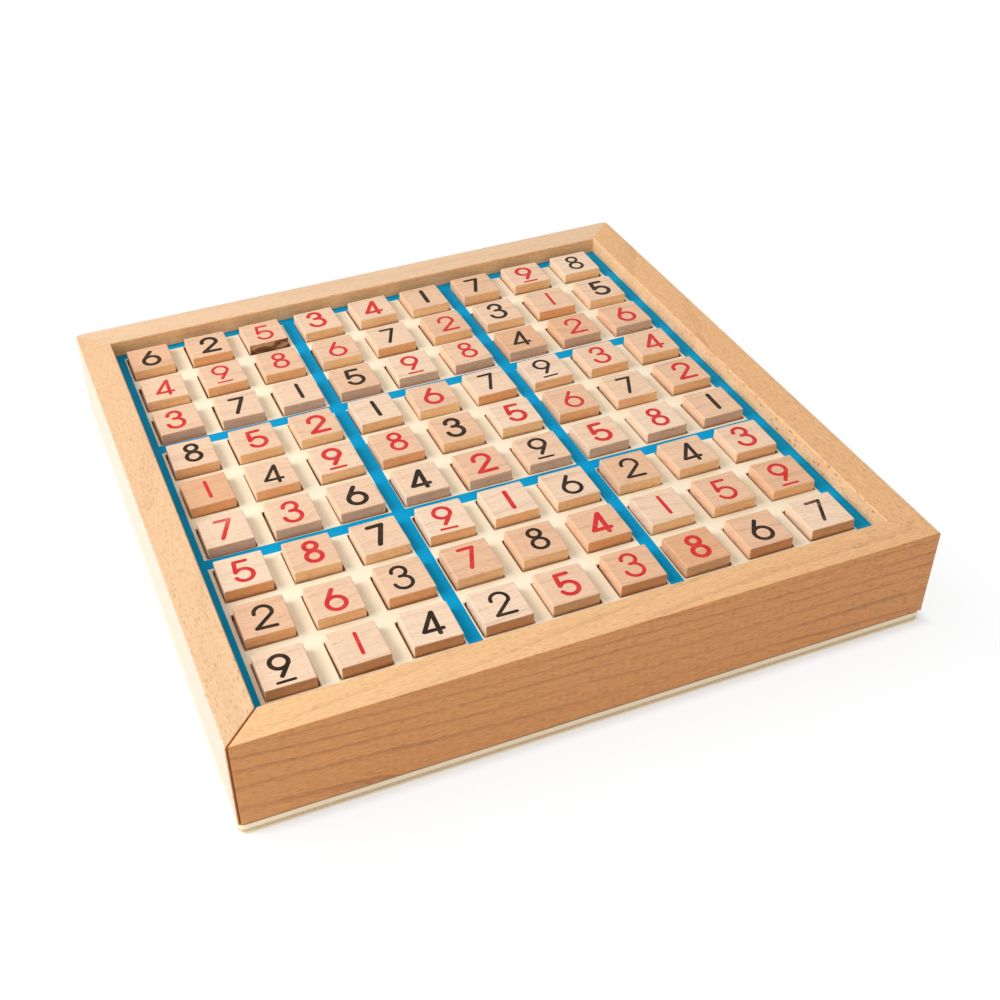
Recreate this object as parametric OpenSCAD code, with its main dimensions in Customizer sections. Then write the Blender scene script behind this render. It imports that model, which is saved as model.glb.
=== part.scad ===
// Sudoku board: a square beech frame on a plywood base, with 81 loose number tiles in the pockets
// of a shallow playing board and a storage drawer under it. The frame's front rail is the drawer front.
// Axes: x to the right, y to the back, z up. The origin is the middle of the underside.
// All lengths are in millimetres.

/* [Number tiles] */
// Width and depth of one tile
tile_size = 20.4; // [16:0.1:26]
// Thickness of one tile
tile_t = 8; // [6:0.5:11]
// Bevel along a tile's edges
tile_bevel = 0.6; // [0.2:0.1:1.2]
// Gap between a tile in the middle of its pocket and the pocket's sides
tile_play = 0.65; // [0.5:0.05:1.2]
// Share of the play by which loose tiles lie off the middle of their pockets
scatter_share = 0.5; // [0:0.05:0.6]
// Share of the play that loose tiles use up by lying turned
turn_share = 0.3; // [0:0.05:0.3]

/* [Playing board] */
// Width of the bar between two pockets
bar_w = 7.6; // [5:0.1:12]
// Width of the border between the outer pockets and the frame
border_w = 6.55; // [4:0.05:12]
// Distance of the pockets from the middle of the frame, to the left
grid_left = 0.9; // [0:0.1:2]
// Distance of the pockets from the middle of the frame, to the back
grid_rear = 2.1; // [0:0.1:3]
// Radius of a pocket's corners
pocket_r = 1.5; // [0.5:0.1:2]
// Thickness of the grid sheet, which is the depth of the pockets
grid_t = 3; // [2:0.5:5]
// Thickness of the backing sheet, the floor of the pockets
backing_t = 3; // [2:0.5:5]
// Drop from the top of the frame to the playing board
recess = 8.6; // [5:0.1:10]

/* [Frame] */
// Width of the rails, seen from above
rail_w = 15.4; // [13:0.1:20]
// Height of the rails
rail_h = 43; // [36:1:60]
// Bevel along the upper edges of the rails
rail_bevel = 0.8; // [0.3:0.1:2]
// Depth of the grooves that hold the two sheets
groove_d = 6; // [4:0.5:8]
// Gap over the sheets in the grooves
groove_play = 0.3; // [0.1:0.05:0.6]
// Distance of the sheets from the middle: they lie pushed to the left and the back
sheet_room = 1.2; // [0.5:0.1:1.8]

/* [Base] */
// Thickness of the base panel
base_t = 5; // [4:0.5:8]
// Radius of the base panel's corners
base_r = 3; // [2:0.5:10]

/* [Drawer] */
// Gap between the drawer and the frame on each side, and under the drawer front
drawer_play = 0.5; // [0.3:0.05:0.8]
// Share of that gap by which the closed drawer stands to the right
push_share = 0.7; // [0:0.05:0.8]
// Thickness of the tray's walls
wall_t = 6; // [5:0.5:9]
// Thickness of the tray's floor
floor_t = 3; // [2:0.5:5]
// Gap between the tray's walls and the backing sheet
head_room = 2; // [1:0.5:5]
// Gap between the tray and the back rail
back_room = 3; // [1:0.5:8]

/* [Screws] */
// Diameter of a screw's shank
screw_d = 3; // [2.5:0.1:4]
// Length of a screw under its head
screw_l = 14; // [11:1:16]
// Length of a screw's point
point_l = 3; // [2:0.5:5]
// Diameter of a screw's head
head_d = 6; // [5:0.1:8]
// Thickness of a screw's head
head_t = 1.8; // [1.2:0.1:2.4]
// Depth of a base screw's head under the base panel's underside
head_sink = 0.4; // [0.2:0.1:0.8]
// Gap round a screw in its hole
screw_play = 0.35; // [0.3:0.05:0.6]
// Width of the slots of a screw's cross drive
slot_w = 0.9; // [0.5:0.1:1.4]
// Depth of the slots of a screw's cross drive
slot_t = 1; // [0.5:0.1:1.1]

/* [Hidden] */
// Places of the screws along a rail, and of the two behind the drawer front, from the middle outward
rail_screw_shares = [-0.36, 0, 0.36];
front_screw_shares = [-0.3, 0.3];
// The end of a screw's point, as a share of its shank's diameter
point_share = 0.2;
// Length of a cross drive's slots, as a share of the head's diameter
slot_share = 0.6;
// Reach of the cuts past the surfaces that they open
overrun = 1;

rows = 9;
box_cells = 3;
box_names = ["left", "middle", "right"];
golden_angle = 180 * (3 - sqrt(5));
corner_step = 22.5;
base_corner_step = 10;
$fn = 48;

// Plan: one pocket, the grid of pockets and the frame around it
pocket = tile_size + 2 * tile_play;
pitch = pocket + bar_w;
opening = rows * pitch - bar_w + 2 * border_w;
board_side = opening + 2 * rail_w;
grid_x = -grid_left;
grid_y = grid_rear;
tile_turn = atan(turn_share * tile_play / (tile_size / 2));

// Heights: the two sheets lie in the grooves, and the tray stands on the base panel
frame_top = base_t + rail_h;
grid_top = frame_top - recess;
backing_top = grid_top - grid_t;
backing_low = backing_top - backing_t;
tray_top = backing_low - head_room;
wall_low = base_t + floor_t;

// Plan of the sheets: held on three sides, and clear of the drawer front
sheet_w = opening + 2 * groove_d - 2 * sheet_room;
sheet_front = -opening / 2 + sheet_room;
sheet_back = opening / 2 + groove_d;

// Plan of the tray, before it is pushed aside
tray_w = opening - 2 * drawer_play;
tray_l = opening - back_room;
push = push_share * drawer_play;

// Screw holes
hole_d = screw_d + 2 * screw_play;
seat_t = head_t + head_sink;
seat_d = head_d + 2 * screw_play;
front_screw_z = (wall_low + tray_top) / 2;

beech = "#d9a673";
tile_beech = "#dcbd9c";
ply = "#ecdcb8";
cream = "#f3ead0";
steel = "#b9bcc0";

STRUCTURE = [
    "left_rail", "right_rail", "back_rail", "base_panel", "base_screws", "backing_sheet", "grid_sheet",
    "drawer_front", "tray_front", "tray_left", "tray_right", "tray_back", "tray_floor", "front_screws"
];

// Outline of a w by d rectangle with corners of radius r, in steps of a few degrees
function rounded_outline(w, d, r, step) = [
    for (corner = [0:90:270], a = [0:step:90])
        [
            sign(cos(corner + 45)) * (w / 2 - r) + r * cos(corner + a),
            sign(sin(corner + 45)) * (d / 2 - r) + r * sin(corner + a)
        ]
];

// Outline of a w by d rectangle with bevelled corners
function bevelled_outline(w, d, b) = rounded_outline(w, d, b, 90);

// A number from -1 to 1 that jumps about from one tile to the next
function scatter(k, kind) = sin(golden_angle * k * (k + kind));

// Section of a rail from its outer face inward, from its underside up
rail_section = [
    [0, 0],
    [rail_w, 0],
    [rail_w, backing_low - base_t],
    [rail_w - groove_d, backing_low - base_t],
    [rail_w - groove_d, grid_top + groove_play - base_t],
    [rail_w, grid_top + groove_play - base_t],
    [rail_w, rail_h - rail_bevel],
    [rail_w - rail_bevel, rail_h],
    [rail_bevel, rail_h],
    [0, rail_h - rail_bevel]
];

// Section of the drawer front, which has no groove and clears the base panel
front_section = [
    [0, drawer_play],
    [rail_w, drawer_play],
    [rail_w, rail_h - rail_bevel],
    [rail_w - rail_bevel, rail_h],
    [rail_bevel, rail_h],
    [0, rail_h - rail_bevel]
];

// A rail along the front of the frame, with both ends mitred and set back by the given gap
module mitred_rail(section, gap) {
    end = board_side / 2 - gap;
    front = -board_side / 2;
    intersection() {
        translate([0, front, base_t])
            rotate([90, 0, 90])
                linear_extrude(board_side, center = true)
                    polygon(section);
        linear_extrude(frame_top + overrun)
            polygon([
                [-end, front],
                [end, front],
                [end - rail_w, front + rail_w],
                [rail_w - end, front + rail_w]
            ]);
    }
}

// Copies at the three screw places along the front rail
module at_rail_screws() {
    for (share = rail_screw_shares)
        translate([share * board_side, (rail_w - board_side) / 2, seat_t])
            children();
}

// Copies at the two screw places behind the drawer front, turned to drive forward
module at_front_screws() {
    for (share = front_screw_shares)
        translate([share * tray_w, wall_t - opening / 2, front_screw_z])
            rotate([90, 0, 0])
                children();
}

// The hole for a screw's shank, from the underside of the head onward
module shank_hole() {
    translate([0, 0, -overrun])
        cylinder(d = hole_d, h = overrun + screw_l + screw_play);
}

// A pan-head screw with a cross drive, pointing up, with the underside of its head at zero
module screw() {
    cylinder(d = screw_d, h = screw_l - point_l);
    translate([0, 0, screw_l - point_l])
        cylinder(d1 = screw_d, d2 = point_share * screw_d, h = point_l);
    difference() {
        translate([0, 0, -head_t])
            cylinder(d = head_d, h = head_t);
        for (turn = [0, 90])
            rotate([0, 0, turn])
                translate([0, 0, slot_t / 2 - head_t])
                    cube([slot_share * head_d, slot_w, slot_t], center = true);
    }
}

// A fixed rail with its groove and screw holes, turned to its side of the frame
module fixed_rail(turn) {
    color(beech)
        rotate([0, 0, turn])
            difference() {
                mitred_rail(rail_section, 0);
                at_rail_screws()
                    shank_hole();
            }
}

module left_rail() {
    fixed_rail(-90);
}

module right_rail() {
    fixed_rail(90);
}

module back_rail() {
    fixed_rail(180);
}

// The base panel, with sunk seats for the screw heads
module base_panel() {
    color(ply)
        difference() {
            linear_extrude(base_t)
                polygon(rounded_outline(board_side, board_side, base_r, base_corner_step));
            for (turn = [-90, 90, 180])
                rotate([0, 0, turn])
                    at_rail_screws() {
                        shank_hole();
                        translate([0, 0, -seat_t - overrun])
                            cylinder(d = seat_d, h = seat_t + overrun);
                    }
        }
}

module base_screws() {
    color(steel)
        for (turn = [-90, 90, 180])
            rotate([0, 0, turn])
                at_rail_screws()
                    screw();
}

// Plan of a sheet, which reaches the bottom of the left and back grooves
module sheet_plan() {
    translate([-sheet_room - sheet_w / 2, sheet_front])
        square([sheet_w, sheet_back - sheet_front]);
}

// Middle of the pocket in a row, counted from the back, and a column, counted from the left
function pocket_place(row, column) = [
    grid_x + (column - (rows + 1) / 2) * pitch,
    grid_y + ((rows + 1) / 2 - row) * pitch
];

module backing_sheet() {
    color(ply)
        translate([0, 0, backing_low])
            linear_extrude(backing_t)
                sheet_plan();
}

module grid_sheet() {
    color(cream)
        translate([0, 0, backing_top])
            linear_extrude(grid_t)
                difference() {
                    sheet_plan();
                    for (row = [1:rows], column = [1:rows])
                        translate(pocket_place(row, column))
                            polygon(rounded_outline(pocket, pocket, pocket_r, corner_step));
                }
}

module drawer_front() {
    color(beech)
        translate([push, 0, 0])
            difference() {
                mitred_rail(front_section, drawer_play);
                at_front_screws()
                    shank_hole();
            }
}

// A wall of the tray with its lower left front corner at the given place
module tray_wall(x, y, size_x, size_y) {
    color(ply)
        translate([x + push, y, wall_low])
            cube([size_x, size_y, tray_top - wall_low]);
}

module tray_front() {
    color(ply)
        difference() {
            tray_wall(-tray_w / 2, -opening / 2, tray_w, wall_t);
            translate([push, 0, 0])
                at_front_screws()
                    shank_hole();
        }
}

module tray_left() {
    tray_wall(-tray_w / 2, wall_t - opening / 2, wall_t, tray_l - 2 * wall_t);
}

module tray_right() {
    tray_wall(tray_w / 2 - wall_t, wall_t - opening / 2, wall_t, tray_l - 2 * wall_t);
}

module tray_back() {
    tray_wall(-tray_w / 2, tray_l - wall_t - opening / 2, tray_w, wall_t);
}

module tray_floor() {
    color(ply)
        translate([push - tray_w / 2, -opening / 2, base_t])
            cube([tray_w, tray_l, floor_t]);
}

module front_screws() {
    color(steel)
        translate([push, 0, 0])
            at_front_screws()
                screw();
}

// A block standing on zero, with all of its edges bevelled
module bevelled_block(w, d, h, b) {
    translate([0, 0, h / 2])
        intersection() {
            linear_extrude(h, center = true)
                polygon(bevelled_outline(w, d, b));
            rotate([90, 0, 0])
                linear_extrude(d, center = true)
                    polygon(bevelled_outline(w, h, b));
            rotate([90, 0, 90])
                linear_extrude(w, center = true)
                    polygon(bevelled_outline(d, h, b));
        }
}

// The tile of a row and a column, lying loose in its pocket
module tile(row, column) {
    k = rows * row + column;
    slack = scatter_share * tile_play;
    translate([slack * scatter(k, 1), slack * scatter(k, 4), backing_top])
        translate(pocket_place(row, column))
            rotate([0, 0, tile_turn * scatter(k, 7)])
                bevelled_block(tile_size, tile_size, tile_t, tile_bevel);
}

// The three tiles of a row that lie in one box of the grid
module row_tiles(row, box) {
    color(tile_beech)
        for (column = [1:box_cells])
            tile(row, box_cells * box + column);
}

left_rail();
right_rail();
back_rail();
base_panel();
base_screws();
backing_sheet();
grid_sheet();
drawer_front();
tray_front();
tray_left();
tray_right();
tray_back();
tray_floor();
front_screws();
for (row = [1:rows], box = [0:len(box_names) - 1])
    row_tiles(row, box);
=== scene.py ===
"""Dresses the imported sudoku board: beech rails, number tiles, the printed playing board and the drawer."""
import math

import bpy
import numpy as np
from mathutils import Matrix, Vector


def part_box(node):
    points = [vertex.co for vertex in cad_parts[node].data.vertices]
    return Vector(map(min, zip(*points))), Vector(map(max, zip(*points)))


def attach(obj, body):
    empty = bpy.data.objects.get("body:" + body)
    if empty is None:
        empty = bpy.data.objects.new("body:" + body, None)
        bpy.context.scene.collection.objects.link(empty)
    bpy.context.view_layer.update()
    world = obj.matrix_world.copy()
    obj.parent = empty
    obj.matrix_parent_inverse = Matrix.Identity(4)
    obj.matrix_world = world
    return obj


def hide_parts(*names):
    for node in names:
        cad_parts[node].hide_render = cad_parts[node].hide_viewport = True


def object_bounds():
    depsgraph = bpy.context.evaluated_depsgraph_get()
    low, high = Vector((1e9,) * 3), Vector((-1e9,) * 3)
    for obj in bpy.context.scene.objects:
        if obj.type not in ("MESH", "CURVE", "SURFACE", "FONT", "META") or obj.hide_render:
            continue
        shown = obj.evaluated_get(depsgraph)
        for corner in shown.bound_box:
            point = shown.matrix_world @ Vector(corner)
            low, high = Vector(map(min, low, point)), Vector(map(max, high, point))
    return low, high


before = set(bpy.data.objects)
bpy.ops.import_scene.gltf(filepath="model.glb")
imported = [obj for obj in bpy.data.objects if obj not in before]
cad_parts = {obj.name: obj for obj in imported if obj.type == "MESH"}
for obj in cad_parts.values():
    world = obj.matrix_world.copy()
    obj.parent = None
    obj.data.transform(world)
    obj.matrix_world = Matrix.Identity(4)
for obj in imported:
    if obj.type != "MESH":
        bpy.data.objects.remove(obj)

bl_info = {
    "name": "Sudoku board",
    "version": (1, 0, 0),
    "blender": (4, 5, 0),
    "location": "3D View > Sidebar > Sudoku board",
    "description": "Surfaces and finishes of a wooden sudoku board with a storage drawer",
    "category": "Object",
}

CAD_BOX = [list(corner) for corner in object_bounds()]
MM = 0.001
UP = (0.0, 0.0, 1.0)
BOXES = ("left", "middle", "right")
ROWS = range(1, 10)

# Plan of the pockets, as in the part's source
TILE = 20.4 * MM
POCKET = 21.7 * MM
POCKET_ROUND = 1.5 * MM
PITCH = 29.3 * MM
GRID_MIDDLE = (-0.9 * MM, 2.1 * MM)

# The solved grid from the back row to the front row
GRID = (
    "625341798",
    "498672315",
    "371598426",
    "852167934",
    "149835672",
    "736429581",
    "587916243",
    "263784159",
    "914253867",
)
# The ink of each number: r red, b black
INKS = (
    "bbrrrbbrb",
    "rrrrbrbrb",
    "rbbbrrbrr",
    "brrbrbbrr",
    "rbrrbrrbr",
    "rrbbrbrrb",
    "rrbrrbbbr",
    "brbrbrrrr",
    "brbbrrrbb",
)
# Rows whose tiles' front sides face a blue line, and how strongly painted shade with a blue cast turns these sides
# pinker and greyer
BLUE_SHADE_ROWS, BLUE_SHADE = (3, 6), 0.7
# Mean depth of the sides' colour, in most rows and in the front row, whose sides are deeper as painted shade under the
# front rail
DEPTH, FRONT_SHADE_ROWS = 0.3, {9: 0.9}
# The tile cut through bark, by row and column
BARK_TILE = (1, 3)
# Tiles with a worn print, by row and column, and the share of the strokes' width that is left
WORN_TILES = {(9, 9): 0.75, (6, 1): 1.0}


def linear(code):
    """Linear light of an sRGB hex colour: each channel's sRGB curve undone."""
    v = np.array([int(code[i:i + 2], 16) for i in (1, 3, 5)]) / 255
    v = np.where(v <= 0.04045, v / 12.92, ((v + 0.055) / 1.055) ** 2.4)
    return (*v.tolist(), 1.0)


def setting(kind, convert=None, **options):
    """A maker of settings of one kind, each from a name, a description, a default and options of its own."""
    def make(name, description, default, **further):
        value = convert(default) if convert else default
        return kind(name=name, description=description, default=value, **{**options, **further})
    return make


# Lengths and points are in metres. Defaults are given in degrees for angles and as sRGB hex for colours
amount = setting(bpy.props.FloatProperty, min=0)
length = setting(bpy.props.FloatProperty, min=0, subtype="DISTANCE", unit="LENGTH", precision=5)
angle = setting(bpy.props.FloatProperty, math.radians, subtype="ANGLE", unit="ROTATION")
pair = setting(bpy.props.FloatVectorProperty, size=2)
point = setting(bpy.props.FloatVectorProperty, subtype="TRANSLATION", unit="LENGTH")
colour = setting(bpy.props.FloatVectorProperty, linear, size=4, min=0, max=1, subtype="COLOR")


class BoardSizes(bpy.types.PropertyGroup):
    """Sizes of the visible detail that the solids leave plain."""

    rail_round: length("Rail edges", "Radius of the sanded upper edges of the rails", 0.7 * MM)
    foot_round: length("Rail feet", "Radius of the lower edges of the rails", 0.5 * MM)
    groove_round: length("Groove edges", "Radius of the edges of the sheet grooves", 0.12 * MM)
    tile_round: length("Tile edges", "Radius of the tumbled edges of a tile", 0.45 * MM)
    tile_corner: length("Tile corners", "Radius of a tile's upright edges", 0.5 * MM)
    stroke_w: length("Stroke width", "Width of the strokes of a number", 1.85 * MM)
    ink_t: length("Ink thickness", "Height of the printed ink over the wood", 0.03 * MM)
    corner_round: length("Corner round", "Radius of the frame's two back corners, seen from above", 3.0 * MM)
    joint_round: length("Drawer joints", "Ease of the mitred ends beside the drawer front", 0.4 * MM)
    glue_round: length("Close joints", "Ease of the mitred ends that meet closely", 0.1 * MM)
    line_w: length("Line width", "Width of the blue lines between the boxes", 6.05 * MM)
    border_left: length("Left border", "Middle of the print to the blue border, on the left", 130.0 * MM)
    border_right: length("Right border", "Middle of the print to the blue border, on the right", 128.6 * MM)
    border_back: length("Back border", "Middle of the print to the blue border, at the back", 128.4 * MM)
    border_front: length("Front border", "Middle of the print to the blue border, at the front", 131.0 * MM)
    print_shift: point("Print shift", "Way of the print from the middle of the pockets", (0.6 * MM, -0.1 * MM), size=2)
    print_turn: angle("Print turn", "Turn of the printed lines against the pockets", -0.27)


class BoardColours(bpy.types.PropertyGroup):
    """Colours of the woods, paints and inks."""

    beech_pale: colour("Beech, pale", "Upper faces of the rails", "#FFCF97")
    beech_deep: colour("Beech, deep", "Upright faces of the rails", "#E39B56")
    # Sapwood colour, also used as painted highlight on the rail faces that face the lamp
    beech_sap_and_highlight: colour("Beech, sapwood", "Palest wood, most of it on the left side", "#D6C5B7")
    beech_line: colour("Beech, growth lines", "Late wood at the end of each year's growth", "#8E5227")
    beech_pin: colour("Beech, pin knots", "Small knots on the right side's inner face", "#BF6A1E")
    beech_fleck: colour("Beech, flecks", "Rays cut across, seen as short dark dashes", "#8A5026")
    tile_pale: colour("Tile, pale", "Lightest tile tops", "#FDDFC1")
    tile_deep: colour("Tile, deep", "Darkest tile tops", "#E9AC7C")
    side_pale: colour("Tile side, pale", "Lightest sawn sides of the tiles", "#FFD29C")
    side_deep: colour("Tile side, deep", "Darkest sawn sides of the tiles", "#F0AD72")
    # Painted shade with a blue cast, on the tile sides that face the blue lines
    side_blue_shade: colour("Tile side, pink", "Sawn sides of the tiles of pinker wood", "#F8C2A3")
    tile_bark: colour("Tile, bark", "The side of the tile cut through bark", "#5F3216")
    cream: colour("Cream paint", "Ground of the playing board", "#FFF3D7")
    scorch: colour("Scorched edge", "Pocket sides, browned by the cutter", "#8A5529")
    blue: colour("Blue print", "Lines between the boxes and the border", "#009DD0")
    black_ink: colour("Black ink", "Black numbers", "#21160D")
    red_ink: colour("Red ink", "Red numbers", "#D3282A")
    ply_face: colour("Plywood, face", "Faces of the plywood sheets", "#FCEBCC")
    ply_core: colour("Plywood, core", "Inner plies seen on the edges", "#CBAC85")
    zinc: colour("Zinc plate", "Screws", "#B9BCC0")
    zinc_dull: colour("Zinc plate, dull", "Dull patches of the screws", "#7E8084")


class StageSettings(bpy.types.PropertyGroup):
    """Camera and light of the studio."""

    camera_place: point("Camera", "Place of the camera", (-0.19049, -0.48301, 0.41329))
    camera_aim: point("Aim", "Point that the camera looks at", (-0.03942, -0.05835, 0.048))
    camera_roll: angle("Roll", "Turn of the camera about its line of sight", -2.3349)
    lens: amount("Lens", "Focal length in mm on a 36 mm sensor", 49.8659, min=1, subtype="DISTANCE_CAMERA")
    shift: pair("Shift", "Shift of the frame across and up, in frame widths", (0.07502, 0.01858))
    key_power: amount("Key light", "Power of the soft lamp on the left", 14.5, subtype="POWER", unit="POWER")
    room_light: amount("Room light", "Strength of the even light from all round", 0.62)
    floor: colour("Floor", "Studio floor", "#FFFFFF")


def node(tree, kind, links=None, **settings):
    """Adds a shader node: settings are its own options, links its inputs, each a value or a socket to link from."""
    new = tree.nodes.new("ShaderNode" + kind)
    for name, value in settings.items():
        setattr(new, name, value)
    for socket, value in (links or {}).items():
        if isinstance(value, bpy.types.NodeSocket):
            tree.links.new(value, new.inputs[socket])
        else:
            new.inputs[socket].default_value = value
    return new


def maths(operation, first, *others, kind="Math"):
    """A step of arithmetic on single numbers, the first of them a socket."""
    return node(first.id_data, kind, dict(enumerate((first, *others))), operation=operation).outputs[0]


def vector_maths(operation, first, *others):
    """A step of arithmetic on vectors, the first of them a socket."""
    return maths(operation, first, *others, kind="VectorMath")


def ramp(value, start=0.0, end=1.0, least=0.0, most=1.0, smooth=False):
    """A value carried over from the span start to end to the span least to most, and held at its ends."""
    return node(value.id_data, "MapRange", {
        "Value": value, "From Min": start, "From Max": end, "To Min": least, "To Max": most,
    }, interpolation_type="SMOOTHSTEP" if smooth else "LINEAR").outputs[0]


def blend(share, first, second):
    """A colour between two: the first where the share is 0, the second where it is 1."""
    return node(share.id_data, "Mix", {0: share, 6: first, 7: second}, data_type="RGBA").outputs[2]


def scaled(place, sizes):
    """A place in a pattern whose features have these sizes in millimetres along x, y and z."""
    return vector_maths("MULTIPLY", place, tuple(1 / (size * MM) for size in sizes))


def noise(place, sizes, detail, **inputs):
    """Soft noise with features of these sizes."""
    links = {"Vector": scaled(place, sizes), "Scale": 1.0, "Detail": detail, **inputs}
    return node(place.id_data, "TexNoise", links).outputs


def cells(place, sizes):
    """Scattered cells of these sizes."""
    return node(place.id_data, "TexVoronoi", {"Vector": scaled(place, sizes), "Scale": 1.0}).outputs


def split(vector):
    """The x, y and z parts of a vector."""
    return node(vector.id_data, "SeparateXYZ", {0: vector}).outputs


def relief(height, strength, depth):
    """A bump of this depth in millimetres."""
    return node(height.id_data, "Bump", {"Strength": strength, "Distance": depth * MM, "Height": height}).outputs[0]


def attribute(tree, name, output="Fac"):
    """A value that the mesh carries at its points."""
    return node(tree, "Attribute", attribute_name=name).outputs[output]


def here(tree):
    """The place on the object."""
    return node(tree, "TexCoord").outputs["Object"]


def facing(tree, axis):
    """How far the surface faces along an axis, from -1 to 1."""
    return split(node(tree, "NewGeometry").outputs["Normal"])[axis]


def new_material(name):
    """A material and its empty tree, which node() then fills."""
    material = bpy.data.materials.new(name)
    material.use_nodes = True
    material.node_tree.nodes.clear()
    return material, material.node_tree


def finish_material(material, base, **sockets):
    """Ends the material's tree with a principled shader that has these inputs."""
    tree = material.node_tree
    inputs = {name.replace("_", " "): value for name, value in sockets.items()}
    shader = node(tree, "BsdfPrincipled", {"Base Color": base, "IOR": 1.5, **inputs})
    node(tree, "OutputMaterial", {"Surface": shader.outputs[0]})
    return material


def beech_figure(grain, ring, sway, fleck, streak):
    """The three marks of beech at a point given along, across and up from the heart of the log.

    ring is the spacing of the growth lines in mm, and sway how far they wander. fleck and streak are the length
    and width of the ray dashes and of the fine grain. Gives three sockets from 0 to 1: streak, line and fleck.
    """
    grown = grain
    # The trunk wandered as it grew, and a year's layer is thick here and thin there
    for sizes, shift in (((300, 90, 90), 8 * sway), ((70, 14, 14), 1.4 * sway)):
        wander = noise(grain, sizes, 1.0)["Color"]
        grown = vector_maths("MULTIPLY_ADD", wander, (0.0, shift * MM, shift * MM), grown)
    # A wave of scale 1 repeats each 2 pi / 20, so this scale repeats it each ring
    rings = node(grain.id_data, "TexWave", {
        "Vector": grown, "Scale": math.pi / 10 / (ring * MM), "Distortion": 0.0,
    }, wave_type="RINGS", rings_direction="X", wave_profile="SAW").outputs["Fac"]
    line = ramp(rings, 0.67, 0.97, smooth=True)
    fine = ramp(noise(grown, (streak[0], streak[1], streak[1]), 3.0, Roughness=0.6)[0], 0.3, 0.7)
    # A growth line breaks up into dashes and fades out in places
    patch = ramp(noise(grain, (45, 7, 7), 1.0)[0], 0.35, 0.65, least=0.3)
    broken = ramp(fine, 0.15, 0.75, least=0.5)
    for share in (patch, broken):
        line = maths("MULTIPLY", line, share)
    ray = cells(grain, (fleck[0], fleck[1], fleck[1]))
    dash = ramp(ray["Distance"], 0.46, 0.2, smooth=True)
    # Seven cells of ten hold a ray, many of them faint
    held = ramp(split(ray["Color"])["X"], 0.3, 0.9)
    return fine, line, maths("MULTIPLY", dash, held)


def lacquered_beech(colours):
    """Planed and sanded beech with a thin satin lacquer: honey wood with growth lines and short dark ray flecks."""
    material, tree = new_material("lacquered_beech")
    grain = attribute(tree, "grain", "Vector")
    tone, sap, rays, knots = (attribute(tree, name) for name in ("tone", "sap", "rays", "knots"))
    # Rays are about 2 mm long; they are drawn about 0.3 mm wide, more than the real width, so that they show
    fine, line, dash = beech_figure(grain, ring=5.4, sway=2.6, fleck=(3.4, 0.5), streak=(4.5, 0.42))
    # Depth of colour and the pale share hold painted light besides the wood's own tone: painted shade on the deep
    # faces, painted highlight on the pale ones
    base = blend(tone, colours.beech_pale, colours.beech_deep)
    base = blend(sap, base, colours.beech_sap_and_highlight)
    # The grain shows least in sapwood and under the painted highlight, and growth lines show where the saw crossed the
    # years, on the upright faces
    clear = ramp(sap, least=1.0, most=0.3)
    streaked = ramp(tone, least=0.3, most=0.38)
    shown = ramp(tone, least=0.14, most=0.58)
    for mark, share, ink in (
        (fine, streaked, colours.beech_line), (line, shown, colours.beech_line), (dash, rays, colours.beech_fleck),
    ):
        depth = maths("MULTIPLY", maths("MULTIPLY", mark, share), clear)
        base = blend(depth, base, ink)
    # Pin knots of 1 to 2 mm, a few in each square centimetre
    pin = ramp(cells(grain, (5, 2.6, 2.6))["Distance"], 0.26, 0.16)
    base = blend(maths("MULTIPLY", pin, knots), base, colours.beech_pin)
    rough = ramp(fine, least=0.42, most=0.54)
    return finish_material(material, base, Roughness=rough, Normal=relief(fine, 0.25, 0.05))


def sanded_beech(colours):
    """Bare sanded beech of the tiles: matt, pinkish, fine-grained on top, with deeper saw-cut sides.

    Each tile has a tone of its own; painted shade deepens the sides of the front row and tints the sides that face a
    blue line.
    """
    material, tree = new_material("sanded_beech")
    grain = attribute(tree, "grain", "Vector")
    tone, side, pink, bark = (attribute(tree, name) for name in ("tone", "side", "pink", "bark"))
    fine, line, dash = beech_figure(grain, ring=4.5, sway=1.5, fleck=(2.8, 0.4), streak=(8, 0.38))
    top = blend(tone, colours.tile_pale, colours.tile_deep)
    sawn = blend(side, colours.side_pale, colours.side_deep)
    # The sides that face the blue lines take painted shade with a blue cast
    sawn = blend(pink, sawn, colours.side_blue_shade)
    # Bark comes and goes over a few millimetres
    mottle = ramp(noise(grain, (5, 2.5, 2.5), 3.0)[0], 0.4, 0.6, least=0.4)
    sawn = blend(maths("MULTIPLY", bark, mottle), sawn, colours.tile_bark)
    # The sawn colour shows on the front and back; the other faces were sanded after cutting
    cut = ramp(maths("ABSOLUTE", facing(tree, "Y")), 0.5, 0.8)
    base = blend(cut, top, sawn)
    for mark, share in ((fine, 0.27), (line, 0.2), (dash, 0.26)):
        base = blend(maths("MULTIPLY", mark, share), base, colours.beech_line)
    rough = ramp(fine, least=0.55, most=0.7)
    return finish_material(material, base, Roughness=rough, Normal=relief(fine, 0.3, 0.05))


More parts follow.
